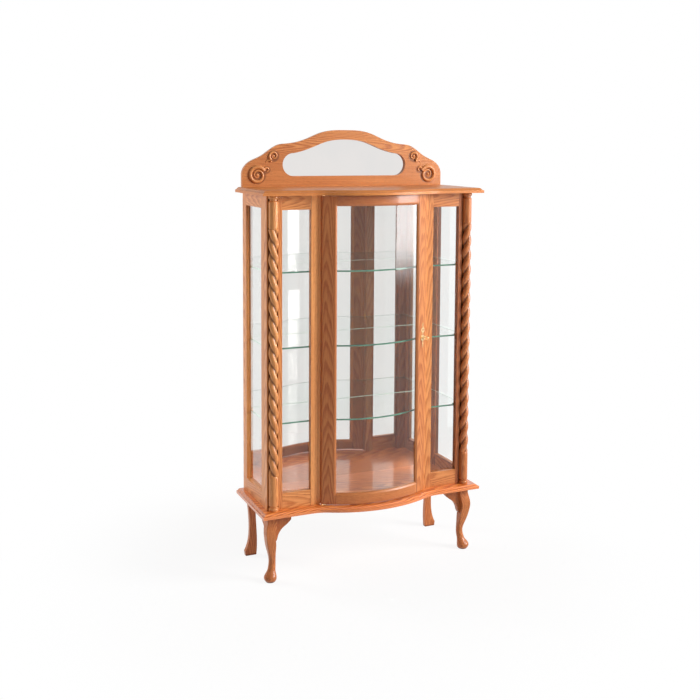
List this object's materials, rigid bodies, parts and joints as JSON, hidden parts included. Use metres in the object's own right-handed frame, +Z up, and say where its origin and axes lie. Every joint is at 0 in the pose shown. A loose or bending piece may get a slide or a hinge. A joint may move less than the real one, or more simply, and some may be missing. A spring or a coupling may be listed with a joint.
{
  "type": "curio cabinet",
  "caption": "Bow-front glazed curio cabinet in oak with a hinged curved-glass door, rope-twist columns, mirror back, glass shelves, arched mirrored crown and cabriole legs.",
  "frame": {"origin": "on the floor, in the middle of the cabinet's width and depth", "axes": "+Z up, +X to the right and +Y to the back, seen from the front"},
  "size_m": [1.03, 0.45, 1.91],
  "materials": {
    "oak": "satin golden oak",
    "clear_glass": "clear float glass",
    "shelf_glass": "clear float glass with polished green edges",
    "mirror": "silvered glass",
    "brass": "polished",
    "steel": "zinc plated",
    "plywood": "plain veneer"
  },
  "bodies": {
    "case": {"base_board": "oak", "carved_scrolls_left": "oak", "carved_scrolls_right": "oak", "centre_post_left": "oak", "centre_post_right": "oak", "corner_post_left": "oak", "corner_post_right": "oak", "crown_board": "oak", "door_stop": "oak", "front_leg_left": "oak", "front_leg_right": "oak", "glazing_beads_left": "oak", "glazing_beads_right": "oak", "leg_ears_left": "oak", "leg_ears_right": "oak", "panel_bottom_rail_left": "oak", "panel_bottom_rail_right": "oak", "panel_top_rail_left": "oak", "panel_top_rail_right": "oak", "rear_leg_left": "oak", "rear_leg_right": "oak", "rope_column_left": "oak", "rope_column_right": "oak", "side_bottom_rail_left": "oak", "side_bottom_rail_right": "oak", "side_front_stile_left": "oak", "side_front_stile_right": "oak", "side_rear_stile_left": "oak", "side_rear_stile_right": "oak", "side_top_rail_left": "oak", "side_top_rail_right": "oak", "top_board": "oak", "front_pane_left": "clear_glass", "front_pane_right": "clear_glass", "side_pane_left": "clear_glass", "side_pane_right": "clear_glass", "glass_shelf_1": "shelf_glass", "glass_shelf_2": "shelf_glass", "glass_shelf_3": "shelf_glass", "back_mirror": "mirror", "crown_mirror": "mirror", "case_pivot_plates": "brass", "lock_strike": "brass", "shelf_clips": "brass", "case_screws": "steel", "crown_screws": "steel", "leg_bolts": "steel", "back_board": "plywood", "crown_backing": "plywood"},
    "door": {"door_hinge_stile": "oak", "door_lock_stile": "oak", "door_top_rail": "oak", "door_bottom_rail": "oak", "door_beads": "oak", "door_glass": "clear_glass", "door_pivot_leaves": "brass", "lock_case": "brass", "escutcheon": "brass"},
    "bolt": {"lock_bolt": "brass"},
    "key": {"lock_key": "brass"}
  },
  "joints": [
    {"name": "door_hinge", "type": "hinge", "parent": "case", "child": "door", "pos_m": [-0.24, -0.11895, 0.31], "axis": [0, 0, -1], "range_deg": [0, 110]},
    {"name": "key_turn", "type": "hinge", "parent": "door", "child": "key", "pos_m": [0.225, -0.13536, 1.003], "axis": [0.4808, -0.8768, 0], "range_deg": [0, 45.2]},
    {"name": "bolt_slide", "type": "slide", "parent": "door", "child": "bolt", "axis": [0.8768, 0.4808, 0], "range_m": [0, 0.009]}
  ],
  "couplings": [
    {"joint": "key_turn", "follows": "bolt_slide", "rad_per_m": 87.266}
  ]
}
